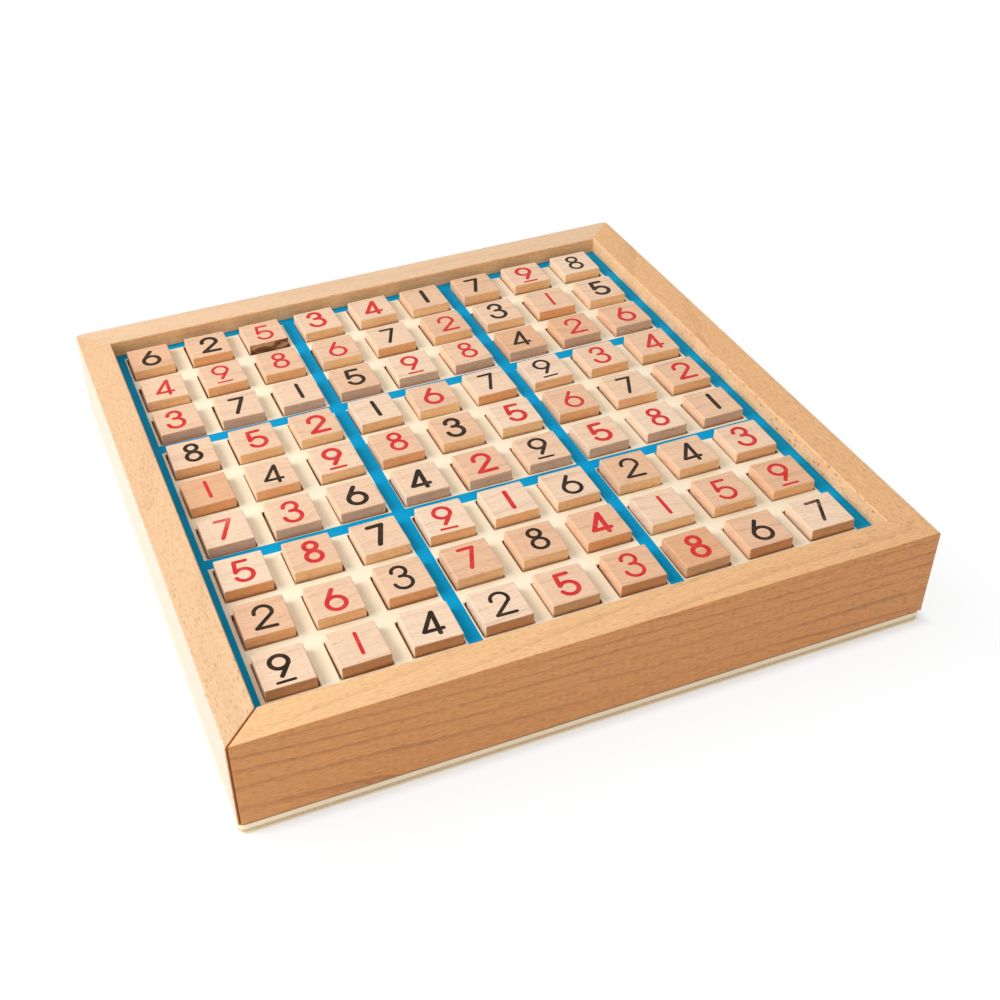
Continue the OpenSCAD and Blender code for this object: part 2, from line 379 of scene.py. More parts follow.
def plywood(name, colours, sheet, axis, plies):
    """Poplar plywood: pale faces with long soft grain, and dark and pale plies in turn along the sawn edges.

    sheet is the CAD node that gets it and axis the way through it. plies says where its two faces lie when the
    middles of the dark plies are numbered 0, 1 and so on.
    """
    material, tree = new_material("poplar_plywood_" + name)
    low, high = (corner[axis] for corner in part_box(sheet))
    place = here(tree)
    grain = noise(place, (60, 2.5, 2.5), 4.0)[0]
    face = blend(ramp(grain, 0.35, 0.75, most=0.35), colours.ply_face, colours.ply_core)
    # The way through the sheet, in steps from one dark ply to the next, then the distance from the nearest dark ply
    through = node(tree, "MapRange", {
        "Value": split(place)[axis], "From Min": low, "From Max": high, "To Min": plies[0], "To Max": plies[1],
    }, clamp=False).outputs[0]
    ply = ramp(maths("PINGPONG", through, 0.5), 0.22, 0.14)
    fibre = ramp(noise(place, (1.2, 1.2, 1.2), 3.0)[0], 0.3, 0.7, least=0.55)
    edge = blend(maths("MULTIPLY", ply, fibre), colours.ply_face, colours.ply_core)
    base = blend(maths("ABSOLUTE", facing(tree, axis)), edge, face)
    finish_material(material, base, Roughness=0.6, Normal=relief(grain, 0.3, 0.08))
    dress(material, sheet)


def painted_board(colours):
    """Cream paint on a thin board, cut by heat: an even matt coat with browned edges and brown pocket sides."""
    material, tree = new_material("cream_paint_on_board")
    place = here(tree)
    mottle = noise(place, (9, 9, 9), 3.0)[0]
    # Distance from the middle of the nearest pocket, in pitches along x and along y, then the greater of the two
    first = (0.5 - GRID_MIDDLE[0] / PITCH, 0.5 - GRID_MIDDLE[1] / PITCH, 0)
    cell = vector_maths("MULTIPLY_ADD", place, (1 / PITCH, 1 / PITCH, 0), first)
    cell = vector_maths("FRACTION", cell)
    cell = vector_maths("SUBTRACT", cell, (0.5, 0.5, 0))
    cell = split(vector_maths("ABSOLUTE", cell))
    reach = maths("MAXIMUM", cell["X"], cell["Y"])
    # The cutter browns the paint for 0.4 mm round a pocket
    singe = ramp(reach, (POCKET / 2 + 0.4 * MM) / PITCH, POCKET / 2 / PITCH, most=0.7, smooth=True)
    shade = ramp(mottle, 0.35, 0.7, most=0.1)
    paint = blend(shade, colours.cream, colours.ply_core)
    paint = blend(singe, paint, colours.scorch)
    base = blend(ramp(facing(tree, "Z"), 0.3, 0.7), colours.scorch, paint)
    rough = ramp(mottle, least=0.45, most=0.6)
    return finish_material(material, base, Roughness=rough)


def printing_ink(name, ink, ground, cover, gloss):
    """Screen-printed ink: a dull film that lets a little of its ground through in fine specks."""
    material, tree = new_material(name)
    place = here(tree)
    # Specks of 0.4 to 0.8 mm among patches of 5 mm
    speck = noise(place, (0.8, 0.4, 0.4), 2.0)[0]
    patch = noise(place, (5, 5, 5), 2.0)[0]
    worn = ramp(maths("MULTIPLY", speck, patch), 0.2, 0.45, most=1 - cover)
    rough = ramp(patch, least=0.4, most=0.6)
    base = blend(worn, ink, ground)
    return finish_material(material, base, Roughness=rough, Specular_IOR_Level=gloss)


def zinc_plate(colours):
    """Zinc-plated steel of the screws: a bright grey metal, dulled in small patches."""
    material, tree = new_material("zinc_plated_steel")
    patch = noise(here(tree), (1.5, 1.5, 1.5), 3.0)[0]
    base = blend(ramp(patch, 0.35, 0.7, most=0.35), colours.zinc, colours.zinc_dull)
    return finish_material(material, base, Metallic=1.0, Roughness=ramp(patch, least=0.25, most=0.45))


def skin(rings, normals, start=0):
    """Closed tubes over rings of points: quads between neighbouring rings and a many-sided cap on each end.

    rings has the shape (tubes, rings, points, 3), and each ring runs anticlockwise seen from the tube's far end.
    normals has that shape too, or is one vector for all points. Gives the points, the faces, with points counted
    from start, and a normal for each face corner.
    """
    tubes, count, points, _ = rings.shape
    index = np.arange(tubes * count * points).reshape(tubes, count, points)
    ahead = np.roll(index, -1, axis=2)
    quads = np.stack([index[:, :-1], ahead[:, :-1], ahead[:, 1:], index[:, 1:]], -1).reshape(-1, 4)
    caps = np.concatenate([index[:, 0, ::-1], index[:, -1]])
    verts = rings.reshape(-1, 3)
    corners = verts[caps]
    out = np.cross(corners, np.roll(corners, -1, axis=1)).sum(1)
    out /= np.linalg.norm(out, axis=1, keepdims=True)
    loops = np.concatenate([
        np.broadcast_to(normals, rings.shape).reshape(-1, 3)[quads].reshape(-1, 3),
        np.repeat(out, points, axis=0),
    ])
    return verts, (quads + start).tolist() + (caps + start).tolist(), loops


def new_object(data):
    """An object in the scene with the name of its mesh, lamp or camera."""
    thing = bpy.data.objects.new(data.name, data)
    bpy.context.scene.collection.objects.link(thing)
    return thing


def new_piece(name, body, verts, faces, loops, materials, attributes=None):
    """A mesh object at the origin that rides on a CAD body; attributes are point values by name."""
    mesh = bpy.data.meshes.new(name)
    mesh.from_pydata(verts.tolist(), [], faces)
    for key, values in (attributes or {}).items():
        kind, field = ("FLOAT_VECTOR", "vector") if values.ndim == 2 else ("FLOAT", "value")
        mesh.attributes.new(key, kind, "POINT").data.foreach_set(field, values.astype(np.float32).ravel())
    for material in materials:
        mesh.materials.append(material)
    mesh.normals_split_custom_set(loops.tolist())
    mesh.update()
    if mesh.validate():
        raise RuntimeError(f"{name} has faces that Blender can't use")
    piece = new_object(mesh)
    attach(piece, body)
    return piece


def dress(material, *names):
    """Gives a CAD node's slots this material."""
    for name in names:
        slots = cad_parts[name].data.materials
        slots.clear()
        slots.append(material)


def rounded_section(corners, radii, steps=4):
    """Outline of right-angled corners, each turned into a quarter circle.

    At a corner P reached along a and left along b, the circle's middle is C = P - r a + r b, and the points
    are C - r b cos t + r a sin t for t from 0 to 90 degrees. Gives the points and their outward normals.
    """
    p = np.asarray(corners, float)
    a = p - np.roll(p, 1, axis=0)
    a /= np.linalg.norm(a, axis=1, keepdims=True)
    b = np.roll(a, -1, axis=0)
    r = np.asarray(radii, float)[:, None, None]
    t = np.linspace(0, math.pi / 2, steps + 1)[None, :, None]
    spoke = a[:, None] * np.sin(t) - b[:, None] * np.cos(t)
    points = (p[:, None] - r * a[:, None] + r * b[:, None]) + r * spoke
    bulge = np.sign(a[:, 0] * b[:, 1] - a[:, 1] * b[:, 0])[:, None, None]
    return points.reshape(-1, 2), (bulge * spoke).reshape(-1, 2)


def shrunk(corners, radii, ease):
    """A right-angled outline moved inward by ease on all sides: outer radii shrink by it, inner ones grow.

    No radius falls below a fiftieth of a millimetre.
    """
    ahead = np.roll(corners, -1, axis=0) - corners
    ahead = ahead / np.linalg.norm(ahead, axis=1, keepdims=True)
    out = np.stack([ahead[:, 1], -ahead[:, 0]], -1)
    before, behind = np.roll(out, 1, axis=0), np.roll(ahead, 1, axis=0)
    bulge = np.sign(behind[:, 0] * ahead[:, 1] - behind[:, 1] * ahead[:, 0])
    return corners - ease * (out + before), np.maximum(radii - ease * bulge, 0.02 * MM)


def turned(vectors, turn):
    """Vectors turned about the z axis."""
    c, s = math.cos(turn), math.sin(turn)
    return vectors @ np.array([[c, s, 0], [-s, c, 0], [0, 0, 1.0]])


class SUDOKU_OT_rails(bpy.types.Operator):
    """Make the four mitred beech rails with sanded edges"""

    bl_idname = "sudoku.rails"
    bl_label = "Rails"

    # Depth of the grooves for the sheets, and the gap over the sheets in them
    GROOVE = 6.0 * MM
    GROOVE_PLAY = 0.3 * MM
    # Distance of the rails from one another in the log that their grain comes from
    LOG_STEP = 0.7
    # Share of the end, and of the sides, in the normals of an eased tip
    SLANT = 0.7
    # Angles of the stops of a rounded corner in degrees, and their distance on the mitre
    TURNS = (45, 30, 15, 0)
    STOP = 0.1 * MM

    # Each rail: its body, its turn about the middle, where its section lay in the log in mm, the slope of its
    # grain, how strongly its rays show at its two ends, and how these ends meet their neighbours
    RAILS = {
        "left_rail": ("frame", -90, (-6, 20), 0.03, (0.28, 0.65), ("sanded", "open")),
        "right_rail": ("frame", 90, (-34, 30), -0.02, (0.55, 0.25), ("tight", "sanded")),
        "back_rail": ("frame", 180, (-8, 26), 0.02, (0.3, 0.25), ("sanded", "sanded")),
        "drawer_front": ("drawer", 0, (-52, 8), 0.045, (0.42, 0.66), ("open", "tight")),
    }
    # For the outer, upper and inner face of each rail: depth of colour and share of the pale colour, which is sapwood
    # and painted highlight. Upright faces are deeper partly from the wood's own colour and partly as painted shade, the
    # right rail's top is deeper as painted shade, and the left rail's outer face and the right rail's inner face, which
    # face the lamp, are paler as painted highlight
    FACES = {
        "left_rail": ((0.1, 0.11, 0.7), (0.85, 0.2, 0.0)),
        "right_rail": ((1.0, 0.38, 0.0), (0.0, 0.0, 0.15)),
        "back_rail": ((1.0, 0.0, 0.1), (0.0, 0.35, 0.0)),
        "drawer_front": ((1.0, 0.22, 0.9), (0.0, 0.0, 0.0)),
    }
    # How much deeper an upper face is at the far end of its rail's path than in its middle: painted light falloff, the
    # upper face paler toward its better lit end
    PAINTED_FALLOFF = {"drawer_front": 0.15, "left_rail": -0.11}
    # How clear the rays are on an upper face, where that is less than on the rail's other faces
    FAINT = {"drawer_front": 0.55}

    def execute(self, context):
        sizes = context.scene.sudoku_sizes
        wood = lacquered_beech(context.scene.sudoku_colours)
        for number, name in enumerate(self.RAILS):
            self.rail(name, number, sizes, wood)
        return {"FINISHED"}

    def outline(self, name, sizes):
        """Right-angled section of a rail from its outer face inward, with a radius for each corner."""
        low, high = (corner[2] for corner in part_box(name))
        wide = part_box("left_rail")[1][0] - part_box("left_rail")[0][0]
        corners, radii = [(0, low), (wide, low)], [sizes.foot_round] * 2
        if self.RAILS[name][0] == "frame":
            floor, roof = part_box("backing_sheet")[0][2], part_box("grid_sheet")[1][2] + self.GROOVE_PLAY
            deep = wide - self.GROOVE
            corners += [(wide, floor), (deep, floor), (deep, roof), (wide, roof)]
            radii += [sizes.groove_round] * 4
        return np.array(corners + [(wide, high), (0, high)]), np.array(radii + [sizes.rail_round] * 2)

    def eased(self, corners, radii, ease):
        """Two stops of a mitred end, from the tip inward: the section shrunk by the ease, then the full section.

        Each point of a stop is its way from the sharp corner along the rail, its depth and its height.
        """
        section, out = rounded_section(corners, radii)
        small, _ = rounded_section(*shrunk(corners, radii, ease))
        stops = [(small[:, 0], *small.T), (section[:, 0] + ease, *section.T)]
        slants = [(np.full(len(out), -self.SLANT), *(self.SLANT * out.T)), (0 * out[:, 0], *out.T)]
        return np.swapaxes(stops, 1, 2), np.swapaxes(slants, 1, 2)

    def sanded(self, corners, radii, corner):
        """Four stops of a mitred end, from the tip inward, on whose upright edge the frame's corner is rounded.

        At angle t a point of the outer face is the middle of the corner's circle less (radius - depth) times
        (sin t, cos t). All other points lie on the mitre, a small step apart.
        """
        section, out = rounded_section(corners, radii)
        deep, high = section.T
        outer = deep < corner
        stops, slants = [], []
        for step, t in enumerate(np.radians(self.TURNS)):
            along = np.where(outer, corner - (corner - deep) * np.sin(t), deep + self.STOP * step)
            depth = np.where(outer, corner - (corner - deep) * np.cos(t), deep)
            turn = np.where(outer, t, 0)
            stops.append((along, depth, high))
            slants.append((out[:, 0] * np.sin(turn), out[:, 0] * np.cos(turn), out[:, 1]))
        return np.swapaxes(stops, 1, 2), np.swapaxes(slants, 1, 2)

    def rail(self, name, number, sizes, wood):
        """A section with rounded edges, carried along x between two mitres that lie at 45 degrees to its path."""
        body, turn, heart, slope, rays, joints = self.RAILS[name]
        turn, half = math.radians(turn), CAD_BOX[1][0]
        corners, radii = self.outline(name, sizes)
        out = rounded_section(corners, radii)[1]
        ends = (-half, half) if body == "frame" else [corner[0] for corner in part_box(name)]
        rings, normals = [], []
        for end, sign, joint in zip(ends, (1, -1), joints):
            if joint == "sanded":
                stops, slants = self.sanded(corners, radii, sizes.corner_round)
            else:
                ease = sizes.joint_round if joint == "open" else sizes.glue_round
                stops, slants = self.eased(corners, radii, ease)
            rings += list(stops[::sign] * [sign, 1, 1] + [end, -half, 0])
            normals += list(slants[::sign] * [sign, 1, 1])
        rings, normals = np.array(rings), np.array(normals)
        surface = skin(turned(rings, turn)[None], turned(normals, turn)[None])
        grain = rings + np.array([self.LOG_STEP * number, half + heart[0] * MM, heart[1] * MM])
        grain[..., 2] += slope * rings[..., 0]
        # Share of the outer, upper and inner face at each point of the section
        share = np.stack([out[:, 0] < -0.5, out[:, 1] > 0.5, out[:, 0] > 0.5]) * 1.0
        share[0] += share.sum(0) == 0
        tone, sap = (np.tile(np.array(depths) @ share, (len(rings), 1)) for depths in self.FACES[name])
        # Painted light falloff along each upper face
        tone += self.PAINTED_FALLOFF.get(name, 0) * rings[..., 0] / half * share[1]
        # The sawn mitres that show are as deep in colour as wood gets
        for tip, joint in zip((0, -1), joints):
            if joint == "open":
                tone[tip], sap[tip] = 1.0, 0.0
        # Small brown pins show on the right rail's inner face and fade toward the back
        knots = (name == "right_rail") * share[2] * (np.arange(len(rings)) == 1)[:, None]
        clear = np.array((1, self.FAINT.get(name, 1), 1)) @ share
        marks = {
            "grain": grain.reshape(-1, 3), "tone": tone.ravel(), "sap": sap.ravel(),
            "rays": (clear * np.interp(rings[..., 0], (-half, half), rays)).ravel(), "knots": knots.ravel(),
        }
        piece = new_piece(name + "_wood", body, *surface, [wood], marks)
        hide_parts(name)


class SUDOKU_OT_board(bpy.types.Operator):
    """Paint the playing board and print its blue lines"""

    bl_idname = "sudoku.board"
    bl_label = "Playing board"

    # How far the border runs from the middle before the sheet's edge cuts it, and the bare rims along that edge and
    # round a pocket
    END = 137 * MM
    RIM = 0.1 * MM
    POCKET_RIM = 0.03 * MM
    # The line of pockets just before each of the four printed lines, counted from the middle one
    GAPS = (-5, -2, 1, 4)
    # How much higher the ink of the lines along y stands, so that it never lies level with the others
    OVERPRINT = 0.3

    def execute(self, context):
        sizes, colours = context.scene.sudoku_sizes, context.scene.sudoku_colours
        dress(painted_board(colours), "grid_sheet")
        plywood("backing", colours, "backing_sheet", 2, (-0.5, 0.5))
        self.lines(sizes, printing_ink("blue_print", colours.blue, colours.cream, cover=1.0, gloss=0.06))
        return {"FINISHED"}

    def lines(self, sizes, ink):
        """Eight thin strips, four along y and then four along x, each between two edges that it keeps all along.

        An edge at distance e from the middle of the print lies at e plus the print's shift plus the way along
        times the tangent of its turn. Where the edge would run over a pocket it follows the pocket's side.
        """
        sheet = np.array(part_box("grid_sheet"))
        line, third, way = sizes.line_w / 2, 1.5 * PITCH, self.stations()
        borders = {0: (sizes.border_front, sizes.border_back), 1: (sizes.border_left, sizes.border_right)}
        strips = []
        for axis in (1, 0):
            other = 1 - axis
            near, far = borders[axis]
            spans = [(-self.END, -near), (-third - line, -third + line), (third - line, third + line), (far, self.END)]
            lean = math.tan(sizes.print_turn) * (1 if axis == 0 else -1)
            drift = GRID_MIDDLE[other] + sizes.print_shift[other] + way * lean
            height = sizes.ink_t * (1 + self.OVERPRINT * axis)
            for gap, (low, high) in zip(self.GAPS, spans):
                under, over = self.pocket_sides(way, gap)
                low = np.maximum(drift + low, GRID_MIDDLE[other] + under)
                high = np.minimum(drift + high, GRID_MIDDLE[other] + over)
                across = np.stack([high, low, low, high] if axis == 1 else [low, high, high, low], 1)
                up = np.broadcast_to(np.array([0, 0, height, height]), across.shape)
                along = np.broadcast_to((way + GRID_MIDDLE[axis])[:, None], across.shape)
                strips.append(np.stack([across, along, up] if axis == 1 else [along, across, up], -1))
        rings = np.array(strips) + [0, 0, sheet[1, 2]]
        rings[..., :2] = np.clip(rings[..., :2], sheet[0, :2] + self.RIM, sheet[1, :2] - self.RIM)
        new_piece("blue_lines", "frame", *skin(rings, UP), [ink])

    def stations(self):
        """Stations along the board, close together round the corners of the pockets."""
        near = np.array([-0.02, 0.02, 0.15, 0.45, 0.9, 1.5]) * MM - POCKET / 2
        cell = np.concatenate([near, -near[::-1]])
        inner = (np.arange(-4, 5)[:, None] * PITCH + cell).ravel()
        return np.concatenate([[-self.END], inner, [self.END]])

    def pocket_sides(self, way, gap):
        """How far a strip in a gap between two lines of pockets may reach, below and above, at each station.

        Beside a pocket that is the pocket's side, which its round corners draw back from; elsewhere it is free.
        """
        radius, half = POCKET_ROUND, POCKET / 2
        t = np.abs((way / PITCH + 0.5) % 1 - 0.5) * PITCH
        bend = np.clip(t - (half - radius), 0, radius)
        side = half - radius + np.sqrt(radius ** 2 - bend ** 2)
        side = np.where((t <= half) & (np.abs(way) < 4.5 * PITCH), side + self.POCKET_RIM, 0)
        under = np.where((side > 0) & (gap > self.GAPS[0]), gap * PITCH + side, -math.inf)
        over = np.where((side > 0) & (gap < self.GAPS[-1]), (gap + 1) * PITCH - side, math.inf)
        return under, over


class SUDOKU_OT_base(bpy.types.Operator):
    """Finish the plywood base panel"""

    bl_idname = "sudoku.base"
    bl_label = "Base panel"

    def execute(self, context):
        plywood("base", context.scene.sudoku_colours, "base_panel", 2, (-0.36, 0.64))
        return {"FINISHED"}


class SUDOKU_OT_tray(bpy.types.Operator):
    """Finish the plywood walls and floor of the drawer's tray"""

    bl_idname = "sudoku.tray"
    bl_label = "Drawer tray"

    # The axis through the thickness of each wall
    AXES = {"tray_left": 0, "tray_right": 0, "tray_front": 1, "tray_back": 1, "tray_floor": 2}

    def execute(self, context):
        for name, axis in self.AXES.items():
            plywood(name, context.scene.sudoku_colours, name, axis, (-0.75, 1.75))
        return {"FINISHED"}


class SUDOKU_OT_screws(bpy.types.Operator):
    """Finish the zinc-plated screws"""

    bl_idname = "sudoku.screws"
    bl_label = "Screws"

    def execute(self, context):
        dress(zinc_plate(context.scene.sudoku_colours), "base_screws", "front_screws")
        return {"FINISHED"}


def threes():
    """Row, first column and CAD node of every three tiles that lie in one row of a box."""
    return [(row, 3 * box + 1, f"tiles_{row}_{part}") for row in ROWS for box, part in enumerate(BOXES)]


def tile_places(name):
    """Middle of the top and turn of the three tiles of a CAD node, left to right.

    The node's width is cut in three. A tile's middle is the middle of its extent, and its turn is a quarter of
    the angle of minus the sum of the fourth powers of its corners, taken as complex numbers about the middle.
    """
    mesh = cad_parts[name].data
    co = np.empty(3 * len(mesh.vertices), np.float32)
    mesh.vertices.foreach_get("co", co)
    co = np.unique(co.reshape(-1, 3).astype(float).round(6), axis=0)
    cuts = np.linspace(co[:, 0].min(), co[:, 0].max(), 4)
    places = []
    for low, high in zip(cuts, cuts[1:]):
        tile = co[(co[:, 0] >= low) & (co[:, 0] <= high)]
        middle = (tile.min(0) + tile.max(0)) / 2
        arm = (tile[:, 0] - middle[0]) + 1j * (tile[:, 1] - middle[1])
        places.append((middle[0], middle[1], np.angle(-(arm ** 4).sum()) / 4))
    return np.array(places), co[:, 2].min(), co[:, 2].max()


class SUDOKU_OT_tiles(bpy.types.Operator):
    """Make the 81 beech tiles with rounded edges, each with its own tone and grain"""

    bl_idname = "sudoku.tiles"
    bl_label = "Number tiles"

    # Mean and spread of the tops' depth of colour, spread of the sides' depth, and spread of the grain's way in degrees
    TOPS = (0.33, 0.26)
    SIDES = 0.4
    GRAIN = 5
    # Least and greatest place of a tile in the log that its grain comes from
    LOG = ((-1, 0.01, 0.01), (1, 0.05, 0.05))
    # Levels of a rounded edge
    STEPS = 5

    def execute(self, context):
        sizes = context.scene.sudoku_sizes
        wood = sanded_beech(context.scene.sudoku_colours)
        chance = np.random.default_rng(81)
        for row, first, name in threes():
            self.three(row, first, name, sizes, wood, chance)
        return {"FINISHED"}

    def three(self, row, first, name, sizes, wood, chance):
        """Three rounded blocks: a rounded square outline at each of several levels.

        A point is the outline's point less the inset times the outline's direction there. Up a rounded edge of
        radius e the inset goes as e (1 - cos t) and the height as e sin t.
        """
        places, low, high = tile_places(name)
        edge, half = sizes.tile_round, TILE / 2
        t = np.linspace(0, math.pi / 2, self.STEPS)
        inset = edge * (1 - np.concatenate([np.cos(t[::-1]), np.cos(t)]))
        level = np.concatenate([low + edge * (1 - np.sin(t[::-1])), high - edge * (1 - np.sin(t))])
        rise = np.concatenate([-np.sin(t[::-1]), np.sin(t)])
        square = [(half, half), (-half, half), (-half, -half), (half, -half)]
        outline, spoke = rounded_section(square, [sizes.tile_corner] * 4)
        ring = outline[None] - inset[:, None, None] * spoke[None]
        up = np.broadcast_to(level[:, None, None], (*ring.shape[:2], 1))
        block = np.concatenate([ring, up], -1)
        flat = np.sqrt(1 - rise ** 2)[:, None, None]
        out = np.concatenate([flat * spoke[None], np.broadcast_to(rise[:, None, None], up.shape)], -1)
        front = out[..., 1].ravel() < -0.5
        rings, normals = [], []
        marks = {"grain": [], "tone": [], "side": [], "pink": [], "bark": []}
        for column, (x, y, turn) in enumerate(places, first):
            rings.append(turned(block, turn) + [x, y, 0])
            normals.append(turned(out, turn))
            log = chance.uniform(*self.LOG)
            grain = turned(block, math.radians(chance.normal(0, self.GRAIN))) + log
            tone = np.clip(chance.normal(*self.TOPS), 0, 1)
            # The front row's sides are drawn deeper as painted shade under the front rail
            side = np.clip(chance.normal(FRONT_SHADE_ROWS.get(row, DEPTH), self.SIDES), 0, 1)
            marks["grain"].append(grain.reshape(-1, 3))
            # Painted shade with a blue cast on the sides of the rows whose front sides face a blue line
            pink, bark = BLUE_SHADE * (row in BLUE_SHADE_ROWS), front * ((row, column) == BARK_TILE)
            for key, value in (("tone", tone), ("side", side), ("pink", pink), ("bark", bark)):
                marks[key].append(np.broadcast_to(value, front.shape))
        surface = skin(np.stack(rings), np.stack(normals))
        marks = {key: np.concatenate(values) for key, values in marks.items()}
        piece = new_piece(name.replace("tiles", "tile_blocks"), name, *surface, [wood], marks)
        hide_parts(name)


def arc(x, y, radius, start, end):
    """Points of a circle about x, y from one angle to another in degrees, about one each 15 degrees."""
    turn = np.radians(np.linspace(start, end, 2 + int(abs(end - start) // 15)))
    return np.stack([x + radius * np.cos(turn), y + radius * np.sin(turn)], -1)


# Strokes of the numbers as middle lines, in millimetres from the middle of a tile
STROKES = {
    1: [[(0.5, 6.1), (0.5, -5.4)]],
    2: [[*arc(0.6, 2.6, 3.6, 185, -27), (-3.7, -6.1)], [(-3.7, -6.2), (4.3, -6.4)]],
    3: [arc(-0.7, 3.85, 3.0, 180, -100), arc(-0.9, -2.8, 3.75, 95, -176)],
    4: [[(1.9, 5.4), (-4.0, -4.3)], [(-4.1, -4.4), (3.7, -4.4)], [(2.1, 5.5), (1.8, -6.7)]],
    5: [[(2.7, 6.0), (-2.2, 6.0)], [(-2.2, 6.0), (-2.8, -0.3)], arc(0.3, -2.6, 3.75, 146, -160)],
    6: [arc(0.25, -2.95, 3.85, 60, 420), [(0.8, 5.3), (-3.1, -1.0)]],
    7: [[(-3.4, 6.05), (2.8, 6.05)], [(2.7, 6.05), (-2.1, -5.9)]],
    8: [arc(0.4, 4.05, 2.65, -90, 270), arc(0.45, -2.65, 3.3, 90, 450)],
    9: [arc(-0.4, 3.05, 3.6, -120, 240), [(2.9, 1.6), (-1.2, -4.6)], [(-3.9, -7.6), (2.9, -7.6)]],
}


class SUDOKU_OT_numbers(bpy.types.Operator):
    """Print the numbers on the tiles in black and red"""

    bl_idname = "sudoku.numbers"
    bl_label = "Numbers"

    # Spread of a print's shift in mm and of its lean in degrees, and least and greatest share of the stroke width
    SHIFT = 0.3
    LEAN = 1.0
    BOLD = (0.84, 1.2)
    # Strokes thinner than the rest of their number, by number and stroke: the bar under the nine
    THIN = {(9, 2): 0.72}
    # How much higher each stroke of a number, and the end of a stroke, stands, so that crossings never lie level
    OVERPRINT = 0.25
    CLIMB = 0.12
    # Stops of a stroke's round end, as shares of half its width
    END = (0.97, 0.82, 0.55, 0.25)

    def execute(self, context):
        sizes, colours = context.scene.sudoku_sizes, context.scene.sudoku_colours
        inks = [
            printing_ink(name, ink, ground, cover, gloss=0.15) for name, ink, ground, cover in (
                ("black_print", colours.black_ink, colours.tile_deep, 0.92),
                ("red_print", colours.red_ink, colours.tile_pale, 0.92),
                ("worn_black_print", colours.black_ink, colours.tile_deep, 0.5),
                ("worn_red_print", colours.red_ink, colours.tile_pale, 0.7),
            )
        ]
        chance = np.random.default_rng(9)
        for row, first, body in threes():
            self.three(row, first, body, sizes, inks, chance)
        return {"FINISHED"}

    def three(self, row, first, body, sizes, inks, chance):
        """The numbers of three tiles: each stroke is a thin ribbon, set on its tile with a little play."""
        places, _, top = tile_places(body)
        verts, faces, loops, printed, start = [], [], [], [], 0
        for column, (x, y, turn) in enumerate(places, first):
            shift = chance.normal(0, self.SHIFT, 2) * MM
            lean = turn + math.radians(chance.normal(0, self.LEAN))
            tile, figure = (row, column), int(GRID[row - 1][column - 1])
            ink = (INKS[row - 1][column - 1] == "r") + 2 * (tile in WORN_TILES)
            bold = sizes.stroke_w * chance.uniform(*self.BOLD) * WORN_TILES.get(tile, 1.0)
            for number, stroke in enumerate(STROKES[figure]):
                wide = bold * self.THIN.get((figure, number), 1)
                height = sizes.ink_t * (1 + self.OVERPRINT * number)
                ribbon = self.ribbon(np.array(stroke) * MM, wide, height, sizes.ink_t)
                points, sides, corners = skin(turned(ribbon + [*shift, 0], lean)[None] + [x, y, top], UP, start)
                start += len(points)
                verts.append(points)
                faces += sides
                loops.append(corners)
                printed += [ink] * len(sides)
        name, verts, loops = body.replace("tiles", "numbers"), np.concatenate(verts), np.concatenate(loops)
        piece = new_piece(name, body, verts, faces, loops, inks)
        piece.data.polygons.foreach_set("material_index", np.array(printed, np.int32))

    def ribbon(self, line, wide, height, sunk):
        """A flat ribbon with round ends along a middle line.

        Past each end the half width goes as the root of w squared less s squared, s being the way past the end.
        The ribbon climbs a little along its way, so that it never lies level with itself where it crosses.
        """
        w = wide / 2
        step = np.diff(line, axis=0)
        ahead = step / np.linalg.norm(step, axis=1, keepdims=True)
        way = np.concatenate([ahead[:1], ahead[:-1] + ahead[1:], ahead[-1:]])
        way /= np.linalg.norm(way, axis=1, keepdims=True)
        past = w * np.array(self.END)
        middle = np.concatenate([line[:1] - past[:, None] * way[:1], line, line[-1:] + past[::-1, None] * way[-1:]])
        way = np.concatenate([np.repeat(way[:1], len(past), 0), way, np.repeat(way[-1:], len(past), 0)])
        taper = np.sqrt(w ** 2 - past ** 2)
        half = np.concatenate([taper, np.full(len(line), w), taper[::-1]])[:, None, None]
        side = np.stack([-way[:, 1], way[:, 0]], -1)[:, None]
        left = np.array([-1, 1, 1, -1.0])[None, :, None]
        plan = middle[:, None] + half * left * side
        climb = height * (1 + self.CLIMB * np.linspace(0, 1, len(middle)))[:, None]
        up = np.where(np.array([0, 0, 1, 1])[None], climb, -sunk)[..., None]
        return np.concatenate([plan, up], -1)


